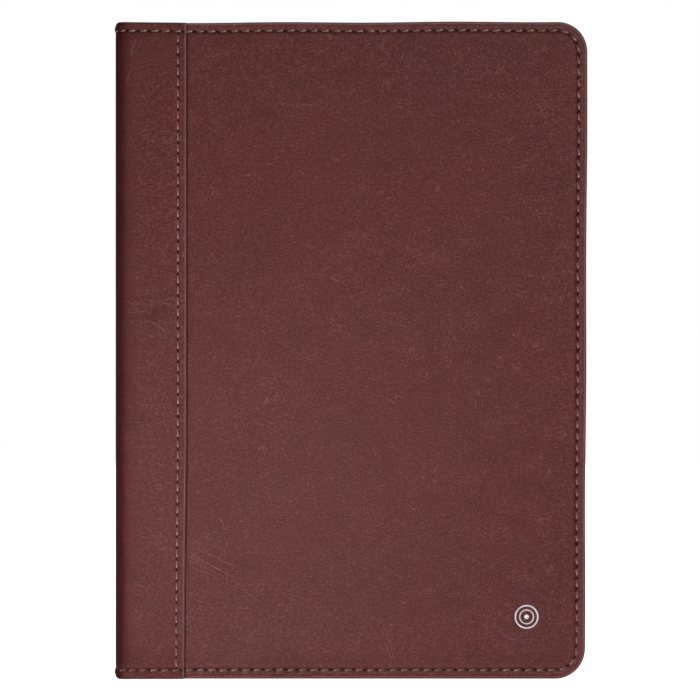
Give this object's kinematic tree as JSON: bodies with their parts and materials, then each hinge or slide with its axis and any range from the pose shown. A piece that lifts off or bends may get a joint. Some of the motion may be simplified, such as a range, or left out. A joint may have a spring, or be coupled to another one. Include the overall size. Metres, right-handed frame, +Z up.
{
  "type": "coin album",
  "caption": "Upright leather coin album with padded covers on leather hinges and a post-bound block of pocket leaves.",
  "frame": {"origin": "on the ground under the middle of the closed album standing upright", "axes": "+Z up along the spine, +X from the spine to the fore edge, +Y from the front cover to the back cover, so the front cover faces -Y"},
  "size_m": [0.158, 0.03, 0.22],
  "materials": {
    "leather": "fine-grained semi-matte burgundy leather",
    "board": "grey binder's board",
    "padding": "thin foam sheet",
    "lining": "dark woven lining cloth",
    "flange": "black-lacquered sheet steel",
    "spacer": "black fibre strip",
    "leaf_core": "matt black plastic sheet",
    "pocket_film": "clear soft plastic film",
    "post": "turned brass",
    "emblem": "pressed silver foil"
  },
  "bodies": {
    "spine_block": {"spine_leather": "leather", "spine_board": "board", "spine_lining": "lining", "front_binding_flange": "flange", "back_binding_flange": "flange", "leaf_tabs": "leaf_core", "spacer_strips": "spacer", "binding_posts": "post", "post_screws": "post", "front_hinge_leather": "leather", "back_hinge_leather": "leather"},
    "front_cover": {"front_cover_leather": "leather", "front_cover_padding": "padding", "front_cover_board": "board", "front_cover_lining": "lining", "front_spine_wrap": "leather", "cover_emblem": "emblem"},
    "back_cover": {"back_cover_leather": "leather", "back_cover_padding": "padding", "back_cover_board": "board", "back_cover_lining": "lining", "back_spine_wrap": "leather"},
    "leaf_01": {"leaf_01_core": "leaf_core", "leaf_01_pockets": "pocket_film"},
    "leaf_02": {"leaf_02_core": "leaf_core", "leaf_02_pockets": "pocket_film"},
    "leaf_03": {"leaf_03_core": "leaf_core", "leaf_03_pockets": "pocket_film"},
    "leaf_04": {"leaf_04_core": "leaf_core", "leaf_04_pockets": "pocket_film"},
    "leaf_05": {"leaf_05_core": "leaf_core", "leaf_05_pockets": "pocket_film"},
    "leaf_06": {"leaf_06_core": "leaf_core", "leaf_06_pockets": "pocket_film"},
    "leaf_07": {"leaf_07_core": "leaf_core", "leaf_07_pockets": "pocket_film"},
    "leaf_08": {"leaf_08_core": "leaf_core", "leaf_08_pockets": "pocket_film"},
    "leaf_09": {"leaf_09_core": "leaf_core", "leaf_09_pockets": "pocket_film"},
    "leaf_10": {"leaf_10_core": "leaf_core", "leaf_10_pockets": "pocket_film"}
  },
  "joints": [
    {"name": "front_cover_hinge", "type": "hinge", "parent": "spine_block", "child": "front_cover", "pos_m": [-0.0773, -0.0133, 0], "axis": [0, 0, -1], "range_deg": [0, 90], "deforming": ["front_hinge_leather"]},
    {"name": "back_cover_hinge", "type": "hinge", "parent": "spine_block", "child": "back_cover", "pos_m": [-0.0773, 0.0133, 0], "axis": [0, 0, 1], "range_deg": [0, 90], "deforming": ["back_hinge_leather"]},
    {"name": "leaf_01_crease", "type": "hinge", "parent": "spine_block", "child": "leaf_01", "pos_m": [-0.06025, -0.00675, 0], "axis": [0, 0, -1], "range_deg": [0, 77]},
    {"name": "leaf_02_crease", "type": "hinge", "parent": "spine_block", "child": "leaf_02", "pos_m": [-0.06025, -0.00525, 0], "axis": [0, 0, -1], "range_deg": [0, 61.7]},
    {"name": "leaf_03_crease", "type": "hinge", "parent": "spine_block", "child": "leaf_03", "pos_m": [-0.06025, -0.00375, 0], "axis": [0, 0, -1], "range_deg": [0, 46.4]},
    {"name": "leaf_04_crease", "type": "hinge", "parent": "spine_block", "child": "leaf_04", "pos_m": [-0.06025, -0.00225, 0], "axis": [0, 0, -1], "range_deg": [0, 31.1]},
    {"name": "leaf_05_crease", "type": "hinge", "parent": "spine_block", "child": "leaf_05", "pos_m": [-0.06025, -0.00075, 0], "axis": [0, 0, -1], "range_deg": [0, 15.8]},
    {"name": "leaf_06_crease", "type": "hinge", "parent": "spine_block", "child": "leaf_06", "pos_m": [-0.06025, 0.00075, 0], "axis": [0, 0, 1], "range_deg": [0, 15.8]},
    {"name": "leaf_07_crease", "type": "hinge", "parent": "spine_block", "child": "leaf_07", "pos_m": [-0.06025, 0.00225, 0], "axis": [0, 0, 1], "range_deg": [0, 31.1]},
    {"name": "leaf_08_crease", "type": "hinge", "parent": "spine_block", "child": "leaf_08", "pos_m": [-0.06025, 0.00375, 0], "axis": [0, 0, 1], "range_deg": [0, 46.4]},
    {"name": "leaf_09_crease", "type": "hinge", "parent": "spine_block", "child": "leaf_09", "pos_m": [-0.06025, 0.00525, 0], "axis": [0, 0, 1], "range_deg": [0, 61.7]},
    {"name": "leaf_10_crease", "type": "hinge", "parent": "spine_block", "child": "leaf_10", "pos_m": [-0.06025, 0.00675, 0], "axis": [0, 0, 1], "range_deg": [0, 77]}
  ],
  "couplings": [
    {"joint": "leaf_01_crease", "follows": "front_cover_hinge", "ratio": 0.85},
    {"joint": "leaf_02_crease", "follows": "front_cover_hinge", "ratio": 0.68},
    {"joint": "leaf_03_crease", "follows": "front_cover_hinge", "ratio": 0.51},
    {"joint": "leaf_04_crease", "follows": "front_cover_hinge", "ratio": 0.34},
    {"joint": "leaf_05_crease", "follows": "front_cover_hinge", "ratio": 0.17},
    {"joint": "leaf_06_crease", "follows": "back_cover_hinge", "ratio": 0.17},
    {"joint": "leaf_07_crease", "follows": "back_cover_hinge", "ratio": 0.34},
    {"joint": "leaf_08_crease", "follows": "back_cover_hinge", "ratio": 0.51},
    {"joint": "leaf_09_crease", "follows": "back_cover_hinge", "ratio": 0.68},
    {"joint": "leaf_10_crease", "follows": "back_cover_hinge", "ratio": 0.85}
  ]
}
